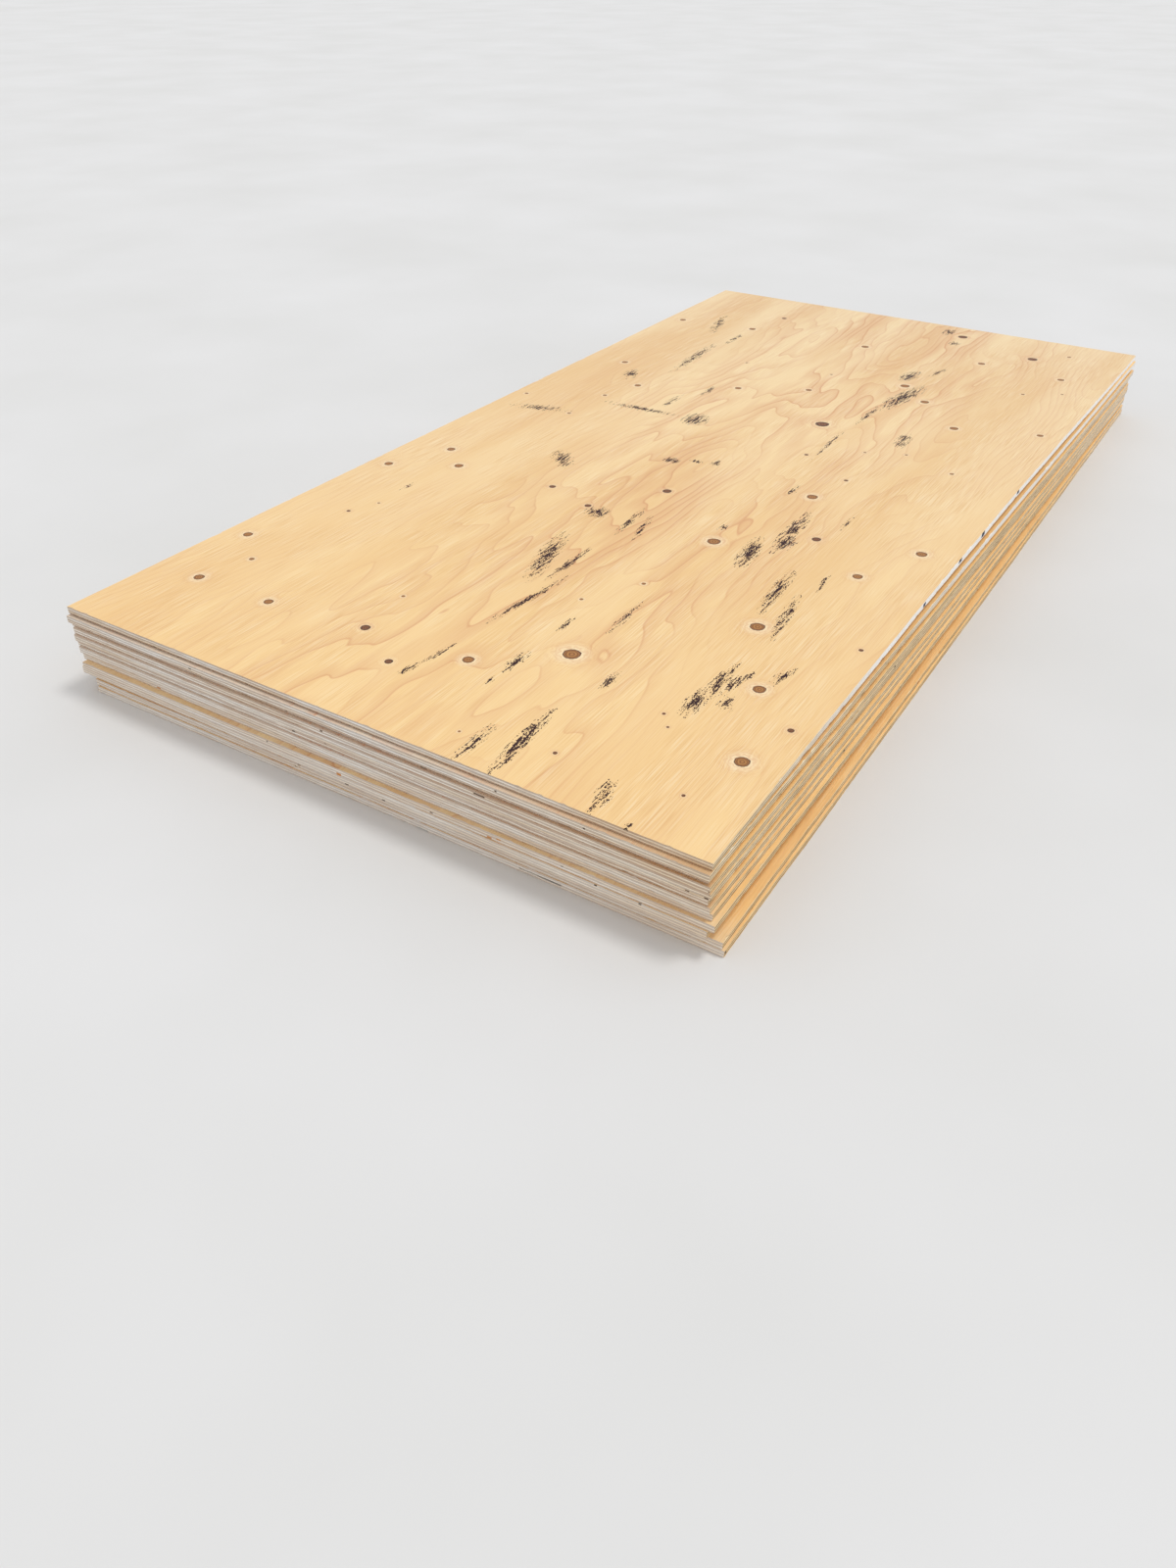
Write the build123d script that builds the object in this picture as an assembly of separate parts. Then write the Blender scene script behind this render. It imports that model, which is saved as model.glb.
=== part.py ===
from build123d import *
from typing import NamedTuple
import os

# All sizes are in millimetres and degrees. The sheets' length runs along X and their width along Y.
# The near end is the short end at low X, and the near side is the long side at low Y.

# One sheet, as it is sold
SHEET_LENGTH = 2400
SHEET_WIDTH = 1200
PLY_COUNT = 5
PLY_THICKNESS = 2.4
SHEET_THICKNESS = PLY_COUNT * PLY_THICKNESS

# The upper sheets have warped: their near side is arched, and their far side lies straight.
# Each step is how far along the side it is, and what share of the sheet's lift is reached there.
ARCH = [(0, 0), (0.2, 0.74), (0.455, 1), (0.715, 0.64), (0.86, 0.22), (1, 0)]

# The far corner of the top sheet's near end has curled up too
CORNER_CURL = 2.5

# A warped board is made longer and wider than a sheet all round, and then sawn to its outline
TRIM = 10

# A gap is a place where one ply stops short of the sawn end
GAP_DEPTH = 30


class Lie(NamedTuple):
    """How a sheet lies: its near corner's distance from the top sheet's, its turn, and its lift."""

    along: float
    across: float
    turn: float
    lift: float


# From the sheet on the floor up to the top one, which the others are measured from
LIES = [
    Lie(9, -22.5, 0.50, 0),
    Lie(10, -18.7, 0.43, 0),
    Lie(7, 4, 0, 0),
    Lie(-6, -2.8, 0.02, 0),
    Lie(-3.5, -11.5, 0.27, 0),
    Lie(2.5, -4.3, 0.06, 0),
    Lie(-0.7, -1.5, 0, 0),
    Lie(1.6, 3.2, -0.03, 0),
    Lie(-2.5, -1.5, 0.03, 2),
    Lie(-3, -0.3, -0.11, 4),
    Lie(1.5, 5, -0.10, 5),
    Lie(-8, -0.3, -0.10, 6),
    Lie(0, 0, 0, 20),
]
TOP_SHEET = len(LIES)


class Gap(NamedTuple):
    """A gap in the near end of a sheet: which ply, counted from below, and where along the end."""

    sheet: int
    ply: int
    start: float
    width: float


GAPS = [
    Gap(sheet=1, ply=1, start=483, width=21),
    Gap(sheet=1, ply=3, start=250, width=70),
    Gap(sheet=9, ply=2, start=3, width=6),
    Gap(sheet=9, ply=2, start=30, width=6),
    Gap(sheet=10, ply=4, start=345, width=19),
]


def side_face(across, heights):
    """The long side face of a board whose underside passes through the given heights."""
    length = SHEET_LENGTH + 2 * TRIM
    points = [(share * length - TRIM, across, height) for share, height in heights]
    # Timed by length alone, two boards' arches keep in step however far each one lifts
    underside = Edge.make_spline(points, parameters=[share for share, height in heights])
    top = Pos(0, 0, SHEET_THICKNESS) * underside
    start, finish = [Line(underside @ end, top @ end) for end in (0, 1)]
    return make_face([underside, finish, top, start])


def warped_board(lift, curl):
    """A board before it is sawn, arched along its near side and straight along its far side."""
    near_side = side_face(-TRIM, [(share, reach * lift) for share, reach in ARCH])
    far_side = side_face(SHEET_WIDTH + TRIM, [(0, curl), (1, 0)])
    return loft([near_side, far_side], ruled=True)


def lay_sheet(number, lie):
    """One sheet with its gaps, laid in its place in the stack."""
    turned = Pos(lie.along, lie.across) * Rot(0, 0, lie.turn)
    outline = turned * Rectangle(SHEET_LENGTH, SHEET_WIDTH, align=(Align.MIN, Align.MIN))
    if lie.lift:
        board = warped_board(lie.lift, CORNER_CURL if number == TOP_SHEET else 0)
        sheet = board & extrude(outline, lie.lift + CORNER_CURL + SHEET_THICKNESS)
    else:
        sheet = extrude(outline, SHEET_THICKNESS)
    for gap in GAPS:
        if gap.sheet == number:
            hollow = Box(GAP_DEPTH, gap.width, PLY_THICKNESS, align=(Align.MIN, Align.MIN, Align.MIN))
            sheet -= turned * Pos(0, gap.start, (gap.ply - 1) * PLY_THICKNESS) * hollow
    return (Pos(0, 0, (number - 1) * SHEET_THICKNESS) * sheet).solid()


sheets = [lay_sheet(number, lie) for number, lie in enumerate(LIES, start=1)]

# The origin is on the floor, under the middle of the whole stack
extent = Compound(sheets).bounding_box()
to_origin = Pos(-extent.center().X, -extent.center().Y, -extent.min.Z)

os.makedirs("parts", exist_ok=True)
for number, sheet in enumerate(sheets, start=1):
    export_step(to_origin * sheet, f"parts/sheet_{number:02d}.step")
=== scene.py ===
# %% [markdown]
# # A stack of plywood sheets
# Thirteen full-size sheets of five-ply softwood plywood lie on one another. The construction model has
# their sizes, their places and the warp of the upper ones. This lesson makes what an eye sees of them:
# the peeled face veneer with its figure, knots and black stains, the sawn edges with their plies, and
# the light.

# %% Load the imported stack
import math

import bpy
import numpy as np
from mathutils import Matrix, Vector
from mathutils.geometry import delaunay_2d_cdt


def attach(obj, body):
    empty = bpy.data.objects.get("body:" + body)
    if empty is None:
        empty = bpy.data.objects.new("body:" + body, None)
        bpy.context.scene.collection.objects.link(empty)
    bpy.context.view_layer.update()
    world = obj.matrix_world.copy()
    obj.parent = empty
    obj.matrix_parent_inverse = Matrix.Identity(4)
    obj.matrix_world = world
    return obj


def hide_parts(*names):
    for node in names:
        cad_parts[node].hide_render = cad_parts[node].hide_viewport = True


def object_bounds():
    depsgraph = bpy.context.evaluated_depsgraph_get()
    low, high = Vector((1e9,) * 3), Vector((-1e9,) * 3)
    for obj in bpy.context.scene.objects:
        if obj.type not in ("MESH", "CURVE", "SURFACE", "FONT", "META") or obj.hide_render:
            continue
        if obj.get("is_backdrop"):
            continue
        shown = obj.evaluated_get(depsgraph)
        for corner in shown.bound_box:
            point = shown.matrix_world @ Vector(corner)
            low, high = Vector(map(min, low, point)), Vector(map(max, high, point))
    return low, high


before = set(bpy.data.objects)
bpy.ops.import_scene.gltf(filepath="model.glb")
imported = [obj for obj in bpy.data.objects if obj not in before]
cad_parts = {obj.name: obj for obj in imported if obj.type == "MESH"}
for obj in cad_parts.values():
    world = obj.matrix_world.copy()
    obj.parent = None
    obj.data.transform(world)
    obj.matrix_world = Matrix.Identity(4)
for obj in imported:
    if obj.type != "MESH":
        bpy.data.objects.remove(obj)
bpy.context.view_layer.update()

MM = 0.001
SHEETS = sorted(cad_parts)
TOP = SHEETS[-1]

# %% [markdown]
# ## Where a sheet lies
# Each sheet is shifted and turned a little, and the upper ones are arched along one side. A sheet's new
# mesh has to lie exactly where its construction solid does, so its corners and the heights of its two
# long sides are read from that solid. Between the few points that a solid keeps along a curve, a smooth
# spline runs on.

# %% A smooth line through points
def smooth_line(stations, heights):
    """A natural cubic spline through the points, as a function of the station."""
    x, y = np.array(stations), np.array(heights)
    if len(x) == 2:
        return lambda t: np.interp(t, x, y)
    step = np.diff(x)
    slope = np.diff(y) / step
    system = np.eye(len(x))
    for i in range(1, len(x) - 1):
        system[i, i - 1:i + 2] = step[i - 1], 2 * (step[i - 1] + step[i]), step[i]
    bend = np.linalg.solve(system, np.concatenate([[0], 6 * np.diff(slope), [0]]))

    def height(t):
        i = np.clip(np.searchsorted(x, t) - 1, 0, len(step) - 1)
        before, after = t - x[i], x[i + 1] - t
        curve = (bend[i] * after**3 + bend[i + 1] * before**3) / (6 * step[i])
        low = (y[i] / step[i] - bend[i] * step[i] / 6) * after
        return curve + low + (y[i + 1] / step[i] - bend[i + 1] * step[i] / 6) * before

    return height


HILL = smooth_line([0, 1, 2], [0, 1, 0])
print("a smooth line through 0, 1 and 0 is at", round(float(HILL(0.5)), 3), "halfway to the 1")

# %% Read a sheet's corners and heights from its solid
TOUCHING = 0.1 * MM
FACING_DOWN = -0.9


def side_heights(underside, start, end):
    """The height of the underside along one long side, by the share of the way along it."""
    way = end - start
    share = (underside[:, :2] - start) @ way / (way @ way)
    nearest = start + share[:, None] * way
    beside = np.linalg.norm(underside[:, :2] - nearest, axis=1) < TOUCHING
    stations, first = np.unique(np.round(share[beside], 3), return_index=True)
    return smooth_line(stations, underside[beside][first, 2])


def read_sheet(name):
    """The length and the width of one sheet, and a function that places points on it."""
    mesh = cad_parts[name].data
    points = np.array([v.co for v in mesh.vertices])
    flat = points[:, :2]
    below = [v for p in mesh.polygons if p.normal.z < FACING_DOWN for v in p.vertices]
    underside = points[sorted(set(below))]
    corner = {ways: flat[np.argmax(flat @ ways)] for ways in ((-1, -1), (1, -1), (-1, 1), (1, 1))}
    near = side_heights(underside, corner[-1, -1], corner[1, -1])
    far = side_heights(underside, corner[-1, 1], corner[1, 1])
    along, across = corner[1, -1] - corner[-1, -1], corner[-1, 1] - corner[-1, -1]
    length, width = np.linalg.norm(along), np.linalg.norm(across)

    def put(u, v, height):
        """Points of the sheet: u along it and v across it from its near corner, in metres."""
        spot = corner[-1, -1] + np.outer(u / length, along) + np.outer(v / width, across)
        low = near(u / length) * (1 - v / width) + far(u / length) * (v / width)
        return np.column_stack([spot, low + height])

    return length, width, put


# Where the near side of the top sheet is highest, as a share of its length
CREST = 0.455

LENGTH, WIDTH, put_on_top_sheet = read_sheet(TOP)
crest = put_on_top_sheet(np.array([CREST * LENGTH]), np.zeros(1), 0)[0, 2]
print("the top sheet is", round(LENGTH, 4), "by", round(WIDTH, 4), "m, and its near side rises to",
      round(float(crest), 4), "m")

# %% [markdown]
# ## Knots of the top sheet
# The face veneer shows some sixty knots, where branches left the trunk. Their places make this sheet
# what it is, and noise alone would put them anywhere. So they are measured from the near end and from
# the near side, in millimetres.

# %% Places of the knots
# From the near end, from the near side, and how wide the knot is
KNOTS = [
    (192, 1096, 17), (361, 1151, 16), (291, 1070, 9), (539, 1064, 7), (766, 1156, 16), (899, 1095, 16),
    (832, 1023, 17), (191, 930, 15), (210, 735, 15), (150, 636, 12), (218, 535, 17), (314, 408, 26),
    (779, 403, 22), (840, 795, 12), (797, 684, 12), (937, 588, 16), (537, 200, 22), (373, 118, 18),
    (201, 61, 20), (301, 35, 9), (553, 32, 7), (781, 129, 16), (920, 65, 18), (882, 248, 15),
    (1057, 332, 19), (1169, 308, 8), (1259, 433, 8), (1451, 479, 27), (1582, 752, 14), (1474, 969, 14),
    (1619, 1092, 14), (2043, 1154, 15), (2066, 948, 16), (2213, 919, 12), (2078, 623, 17),
    (1659, 602, 13), (1814, 418, 20), (1722, 337, 18), (2101, 318, 16), (2214, 219, 22),
    (2077, 113, 15), (1635, 48, 13), (1579, 221, 17), (2313, 434, 22), (1370, 999, 9), (1220, 1003, 8),
    (87, 288, 6), (1312, 139, 8), (1335, 333, 6), (571, 429, 7), (470, 490, 6), (1803, 604, 6),
    (2286, 144, 9), (1908, 160, 8), (1367, 254, 6), (1778, 825, 6), (598, 1039, 5), (693, 1044, 5),
    (1286, 1167, 8), (1960, 81, 6), (246, 207, 5), (220, 186, 4), (97, 94, 5), (59, 431, 4),
    (324, 751, 6),
]
# The knots whose heart is nearly black
DARK_KNOTS = {
    (539, 1064), (210, 735), (840, 795), (301, 35), (553, 32), (882, 248), (1169, 308), (1259, 433),
    (1451, 479), (2213, 919), (2214, 219), (2313, 434), (87, 288), (246, 207), (220, 186), (97, 94),
    (937, 588), (797, 684), (150, 636),
}
print(len(KNOTS), "knots, of which", len(DARK_KNOTS), "are dark")

# %% [markdown]
# ## Stains of the top sheet
# Black speckled stains lie along the grain, rubbed on by something dirty. They are measured too, each
# as an oval that the speckles thin out towards.

# %% Places of the stains
# From the near end, from the near side, half the length, half the width, the turn in degrees, and how
# dense
STAINS = [
    (152, 597, 28, 8, -14, 1.0), (205, 586, 45, 6, -8, 0.7), (427, 566, 110, 10, -7, 0.75),
    (572, 580, 78, 9, 0, 0.9), (575, 630, 110, 22, 14, 0.7), (781, 653, 28, 26, 20, 1.0),
    (779, 578, 70, 9, 4, 0.7), (764, 543, 62, 9, 12, 0.5), (976, 860, 55, 26, 42, 0.6),
    (48, 398, 60, 12, 0, 0.5), (87, 343, 95, 13, 3, 0.95), (252, 469, 38, 12, 0, 0.75),
    (189, 472, 13, 7, 10, 0.9), (387, 467, 28, 8, 0, 0.45), (459, 396, 72, 8, 2, 0.4),
    (280, 319, 32, 10, 0, 0.8), (772, 328, 72, 19, 8, 1.0), (888, 300, 105, 17, 4, 0.95),
    (840, 290, 45, 20, 0, 0.9), (663, 224, 92, 15, 5, 0.75), (340, 177, 90, 13, 0, 1.0),
    (374, 155, 42, 11, -14, 0.9), (297, 184, 45, 17, 0, 0.9), (585, 175, 92, 12, 8, 0.55),
    (43, 184, 42, 14, 6, 0.5), (1086, 660, 17, 22, 0, 0.9), (1115, 573, 20, 10, 5, 0.9),
    (1106, 613, 9, 16, 0, 0.7), (1332, 735, 42, 34, 10, 0.9), (1332, 882, 15, 110, 0, 0.45),
    (1218, 1080, 24, 85, 14, 0.25), (1529, 804, 42, 10, 0, 0.6), (1751, 961, 155, 16, 4, 0.5),
    (2057, 1049, 105, 17, 16, 0.35), (1724, 392, 125, 26, -6, 0.8), (1570, 415, 90, 10, 0, 0.4),
    (1895, 435, 52, 22, -5, 1.0), (1444, 289, 52, 20, 6, 0.55), (2241, 434, 22, 18, 0, 0.7),
    (2339, 480, 38, 20, -10, 0.6), (1965, 386, 60, 9, -8, 0.45), (729, 169, 40, 6, 6, 0.6),
    (693, 1044, 30, 5, 0, 0.25), (1542, 1030, 45, 22, 14, 0.45), (1954, 947, 60, 10, 0, 0.4),
    (1068, 377, 32, 9, 0, 0.5), (1348, 418, 110, 7, 3, 0.3), (974, 228, 38, 6, 0, 0.4),
    (316, 144, 30, 16, 20, 0.25), (421, 103, 40, 12, -14, 0.35), (1414, 842, 60, 12, 0, 0.25),
    (843, 417, 18, 10, 0, 0.4), (8, 124, 7, 6, 0, 1.0),
]
print(len(STAINS), "stains")

# %% [markdown]
# ## Patches
# Each knot and each stain is cut into the face as an oval patch of its own. The corners of its
# triangles carry where they are in the patch, and then a material can draw it sharply at any size. A
# knot's patch also takes in the wood round it, whose grain parts there, but it stays clear of its
# neighbours.

# %% Outlines of the patches
PATCH_CORNERS = 28
PATCH_TO_RIM = 3 * MM
# A knot's patch reaches so many knot radii, or less by its share of the way to a neighbour or to the
# rim
KNOT_REACH = 4.0
SHARE_TO_NEIGHBOUR = 0.49
SHARE_TO_RIM = 0.9


def oval(middle, half_length, half_width, turn):
    """The corners of an oval patch on the face, in metres."""
    angle = np.arange(PATCH_CORNERS) * 2 * math.pi / PATCH_CORNERS
    ahead = np.array([math.cos(turn), math.sin(turn)])
    aside = np.array([-ahead[1], ahead[0]])
    corners = half_length * np.outer(np.cos(angle), ahead) + half_width * np.outer(np.sin(angle), aside)
    return np.clip(middle + corners, PATCH_TO_RIM, (LENGTH - PATCH_TO_RIM, WIDTH - PATCH_TO_RIM))


def knot_patches():
    """Each knot's middle, its radius, how far its patch reaches, and whether it is dark."""
    middles = np.array([knot[:2] for knot in KNOTS]) * MM
    patches = []
    for (along, across, wide), middle in zip(KNOTS, middles):
        to_next = np.partition(np.linalg.norm(middles - middle, axis=1), 1)[1]
        to_rim = min(middle[0], middle[1], LENGTH - middle[0], WIDTH - middle[1])
        radius = wide * MM / 2
        reach = min(KNOT_REACH * radius, SHARE_TO_NEIGHBOUR * to_next, SHARE_TO_RIM * to_rim)
        patches.append((middle, radius, reach, (along, across) in DARK_KNOTS))
    return patches


def stain_patches():
    """Each stain's middle, half length, half width and turn as one patch, and how dense it is."""
    return [((np.array([along, across]) * MM, a * MM, b * MM, math.radians(turn)), dense)
            for along, across, a, b, turn, dense in STAINS]


def share_of_patch(spots, middle, half_length, half_width, turn):
    """Where spots lie in a patch, as shares of its half length and half width."""
    away = spots - middle
    ahead = np.array([math.cos(turn), math.sin(turn)])
    aside = np.array([-ahead[1], ahead[0]])
    return np.stack([away @ ahead / half_length, away @ aside / half_width], axis=-1)


print("the smallest knot's patch reaches", round(min(p[2] for p in knot_patches()) / MM, 1), "mm")

# %% [markdown]
# ## The rim of a sheet
# A circular saw cut the sheets to size. The cut wanders by a few tenths of a millimetre and the corners
# have worn round. So the rim is a strip of its own, with a station every few millimetres all round the
# sheet.

# %% Stations round the rim
PLIES = 5
THICKNESS = 12 * MM
PLY = THICKNESS / PLIES
RIM_STEP = 6 * MM
CORNER_ROUND = 1.2 * MM
NEAR_SIDE, FAR_END, FAR_SIDE, NEAR_END = range(4)


def rim_path(length, width, breaks):
    """Points round a sheet's outline, each with its way inward, the side it is on and the distance run.
    The breaks are more stations, given as a side and a distance along it from the near corner."""
    r = CORNER_ROUND
    rows = []
    run = 0.0
    corners = [((0, 0), (1, 0), (0, 1), length), ((length, 0), (0, 1), (-1, 0), width),
               ((length, width), (-1, 0), (0, -1), length), ((0, width), (0, -1), (1, 0), width)]
    for side, (start, ahead, inward, long) in enumerate(corners):
        start, ahead, inward = np.array(start), np.array(ahead), np.array(inward)
        extra = [long - b if side == NEAR_END else b for on, b in breaks if on == side]
        stations = sorted([*np.linspace(r, long - r, round(long / RIM_STEP)), *extra])
        for s in stations:
            if r <= s <= long - r:
                rows.append((*(start + s * ahead), *inward, side, run + s))
        turned = (inward - ahead) / math.sqrt(2)
        knee = start + (long - r) * ahead + r * inward - r * turned
        rows.append((*knee, *turned, side, run + long))
        run += long
    return np.array(rows)


def from_near_corner(path, side):
    """How far each station is from the near corner along one side, or nothing where it isn't on it."""
    run = path[:, 5]
    distance = run.max() - run if side == NEAR_END else run
    return np.where(path[:, 4] == side, distance, np.nan)


print("a sheet has", len(rim_path(LENGTH, WIDTH, [])), "rim stations")

# %% [markdown]
# ## Torn plies, core gaps and chips
# The plies tear a little differently from one another under the saw, splinters are missing along the
# arrises, and in a few places a veneer inside the sheet stops short and leaves a dark slot, a core gap.
# Each station has the bottom and the top of every ply, and each of those is moved inward by its own
# amount.

# %% Move the plies inward
# The sheet, the ply counted from below, and where along the near end the gap starts, how wide and how
# deep it is
GAPS = [
    (1, 1, 483, 21, 5), (1, 3, 250, 70, 25), (9, 2, 3, 6, 25), (9, 2, 30, 6, 25), (10, 4, 345, 19, 25),
    (12, 4, 320, 4, 15), (12, 3, 180, 3, 15), (11, 1, 444, 10, 15), (5, 2, 449, 6, 15),
    (5, 3, 228, 3, 10), (10, 2, 0, 3, 10), (3, 4, 655, 5, 15), (8, 3, 700, 6, 10), (11, 2, 708, 4, 10),
    (5, 4, 770, 3, 10), (2, 3, 735, 5, 10), (13, 5, 122, 4, 3), (4, 5, 97, 4, 6), (2, 5, 727, 6, 8),
]
# How far in the cut lies, and how far the saw's wander, its marks and the torn plies move it. Each of
# these three changes over a length of its own.
CUT_INSET = 0.3 * MM
SAW_WANDER, WANDER_STEP = 0.35 * MM, 150 * MM
SAW_MARKS, MARK_STEP = 0.12 * MM, 20 * MM
PLY_TEAR, TEAR_STEP = 0.16 * MM, 9 * MM
# How far the arrises are worn, how deep their splinters are in millimetres, and how rare
ARRIS_WEAR = 0.25 * MM
SPLINTER_STEP = 12 * MM
SPLINTER_DEPTHS = (0.3, 1.6)
SPLINTER_LIMIT = 0.72


def wander(rng, run, step, reach):
    """A smooth random line round the rim, which meets itself: one random value every step."""
    total = run.max()
    values = rng.uniform(-reach, reach, max(3, round(total / step)))
    place = run / total * len(values)
    i = np.floor(place).astype(int)
    t = place - i
    t = t * t * (3 - 2 * t)
    return values[i % len(values)] * (1 - t) + values[(i + 1) % len(values)] * t


def rim_inset(rng, number, path):
    """How far each station's rows lie inward, two rows for each ply."""
    side, run = path[:, 4], path[:, 5]
    saw_line = wander(rng, run, WANDER_STEP, SAW_WANDER) + wander(rng, run, MARK_STEP, SAW_MARKS)
    inset = np.tile(saw_line + CUT_INSET, (2 * PLIES, 1)).T
    for ply in range(1, PLIES + 1):
        shows_end_grain = side % 2 == ply % 2
        tear = wander(rng, run, TEAR_STEP, PLY_TEAR) + np.where(shows_end_grain, PLY_TEAR, 0)
        inset[:, 2 * ply - 2:2 * ply] += tear[:, None]
    for row in (0, -1):
        splintered = wander(rng, run, SPLINTER_STEP, 1) > SPLINTER_LIMIT
        splinters = splintered * rng.uniform(*SPLINTER_DEPTHS, len(run)) * MM
        inset[:, row] += ARRIS_WEAR + splinters
    along_end = from_near_corner(path, NEAR_END)
    for sheet, ply, start, wide, deep in GAPS:
        if sheet == number:
            inside = (along_end > start * MM) & (along_end < (start + wide) * MM)
            inset[inside, 2 * ply - 2:2 * ply] = deep * MM
    return inset


print("core gaps and chips on sheets", sorted({gap[0] for gap in GAPS}))

# %% [markdown]
# ## Marks, ageing and painted light of the edges
# A few knots and drops of resin are sawn through in the edges, and the top sheet's near side has dark
# smudges. Each is one short stretch of some plies. The strips of lower sheets that stick out are amber
# along the near side, partly from ageing and partly as painted warm light bounced between them, and
# along the near end they carry dust that is partly painted shade. The edges of the top sheets are
# painted whiter towards the far end along the near side, a painted highlight where the sun catches them.

# %% Places of the edge marks, how far the wood has aged, and the painted light on it
# The sheet, the side, the lowest and highest ply, where it starts, how wide it is, and what it is
KNOT, RESIN, SMUDGE = range(3)
EDGE_MARKS = [
    (4, NEAR_END, 5, 5, 165, 4, KNOT), (3, NEAR_END, 1, 1, 104, 7, KNOT),
    (10, NEAR_END, 4, 4, 640, 5, KNOT), (8, NEAR_END, 4, 4, 636, 5, KNOT),
    (3, NEAR_END, 1, 1, 655, 14, KNOT), (4, NEAR_END, 1, 1, 601, 7, KNOT),
    (4, NEAR_END, 1, 1, 530, 6, KNOT), (5, NEAR_END, 2, 2, 346, 8, RESIN),
    (5, NEAR_END, 3, 3, 331, 7, RESIN), (5, NEAR_END, 1, 2, 622, 9, RESIN),
    (12, NEAR_END, 3, 3, 905, 6, KNOT), (6, NEAR_END, 2, 2, 1010, 9, RESIN),
    (13, NEAR_SIDE, 2, 4, 748, 12, SMUDGE), (13, NEAR_SIDE, 3, 5, 930, 16, SMUDGE),
    (13, NEAR_SIDE, 2, 5, 1060, 18, SMUDGE), (13, NEAR_SIDE, 3, 5, 1290, 14, SMUDGE),
    (2, NEAR_SIDE, 2, 4, 748, 10, RESIN), (2, NEAR_SIDE, 5, 5, 860, 9, RESIN),
    (6, NEAR_SIDE, 3, 3, 430, 6, KNOT), (4, NEAR_SIDE, 1, 1, 1120, 8, KNOT),
    (9, NEAR_SIDE, 5, 5, 640, 6, KNOT), (1, NEAR_SIDE, 3, 4, 3, 4, KNOT),
    (13, NEAR_END, 5, 5, 121, 6, KNOT),
]
# Where the painted highlight on an upper sheet's near side starts and where it is full, in metres from
# the near corner, and how white it makes the edge then. The sun catches these edges towards the far
# end. The last row is for all the sheets below.
HIGHLIGHT_WHITE = {13: (0.15, 0.55, 1.0), 12: (0.6, 1.1, 0.8), 11: (1.1, 1.8, 0.6), 10: (1.4, 2.2, 0.4)}
HIGHLIGHT_WHITE_BELOW = (1.5, 2.6, 0.3)
# How amber the near side of the top sheet is, and how much more that of the lowest
AMBER_SIDE_TOP, AMBER_SIDE_MORE = 0.1, 0.45
# How much whiter the near end of the lowest sheet is drawn. The sheets above it are whitened less and
# less.
NEAR_END_WHITE = 0.35
# How amber the top face is at its two ends, out of 1 for the faces below it. The full amber of the
# lower strips is partly painted warm light bounced between them, and the fading of the top face
# towards the far end is partly painted sheen.
AMBER_TOP_NEAR, AMBER_TOP_FAR = 0.7, 0.05
# Within this of the near end the strips carry dust from sheet 7 up, partly painted shade under the
# sheets above them, and below it they are hardly amber, so that they are painted paler in their shade
NEAR_END_REACH = 60 * MM
LOWEST_DUSTY_SHADED = 7
AMBER_NEAR_END = 0.1
# Within this many metres of the near corner the near end is amber too, and the dust and painted shade
# of its strips are brown, not grey
AMBER_CORNER = 0.5
AMBER_END = 0.42


def edge_ageing_and_light(number, path):
    """How amber and how much whiter the wood is at each station of the rim. On the long sides the whiter
    part is a painted highlight. Its dust and painted shade are left at nought.
    """
    along_side = np.nan_to_num(from_near_corner(path, NEAR_SIDE))
    # Painted highlight: the near side of the upper sheets is whitened towards the far end, where the sun
    # catches these edges
    start, full, white = HIGHLIGHT_WHITE.get(number, HIGHLIGHT_WHITE_BELOW)
    whitening = white * np.clip((along_side - start) / (full - start), 0, 1)
    on_long_side = path[:, 4] % 2 == 0
    depth = 1 - number / len(SHEETS)
    along_end = np.nan_to_num(from_near_corner(path, NEAR_END), nan=AMBER_CORNER)
    near_corner = np.clip(1 - along_end / AMBER_CORNER, 0, 1)
    amber_side = AMBER_SIDE_TOP + AMBER_SIDE_MORE * depth
    amber = np.where(on_long_side, amber_side, AMBER_END * near_corner)
    whitening = np.where(on_long_side, whitening, NEAR_END_WHITE * depth)
    return np.column_stack([amber * (1 - whitening), whitening, np.zeros(len(path))])


print(len(EDGE_MARKS), "edge marks")

# %% [markdown]
# ## The surface of a sheet
# A mesh is put together from its rim strip and its two faces. Besides its shape, every corner of every
# triangle carries data for the materials: its place in the veneer in metres, its place in a knot or
# stain patch, how the wood has aged there together with the painted highlight and shade it is given,
# and the edge marks. A corner that is in no patch says that it is nine half widths away.

# %% The rim strip
# A sheet's veneer is read so many metres past that of the sheet below it, so no two have the same grain
GRAIN_STEP = 10
FACE, SIDE, END = range(3)
# The rows of two plies that meet lie so far from their glue line, so each ply can tear by itself
GLUE_HAIR = 0.1 * MM
ROW_HEIGHTS = np.ravel([(ply * PLY + GLUE_HAIR, (ply + 1) * PLY - GLUE_HAIR) for ply in range(PLIES)])
ROW_HEIGHTS[0], ROW_HEIGHTS[-1] = 0, THICKNESS
PLAIN_CORNER = {"grain": (0, 0), "knot_place": (9, 9, 0), "knot_dark": (0,), "stain_place": (9, 9, 0),
                "ageing_and_light": (0, 0, 0), "edge_mark": (0, 0, 0)}


def plain_corners(faces, corners):
    """The data of faces with so many corners each, that are in no patch and have no marks."""
    return {key: np.tile(np.array(value, float), (faces, corners, 1))
            for key, value in PLAIN_CORNER.items()}


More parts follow.
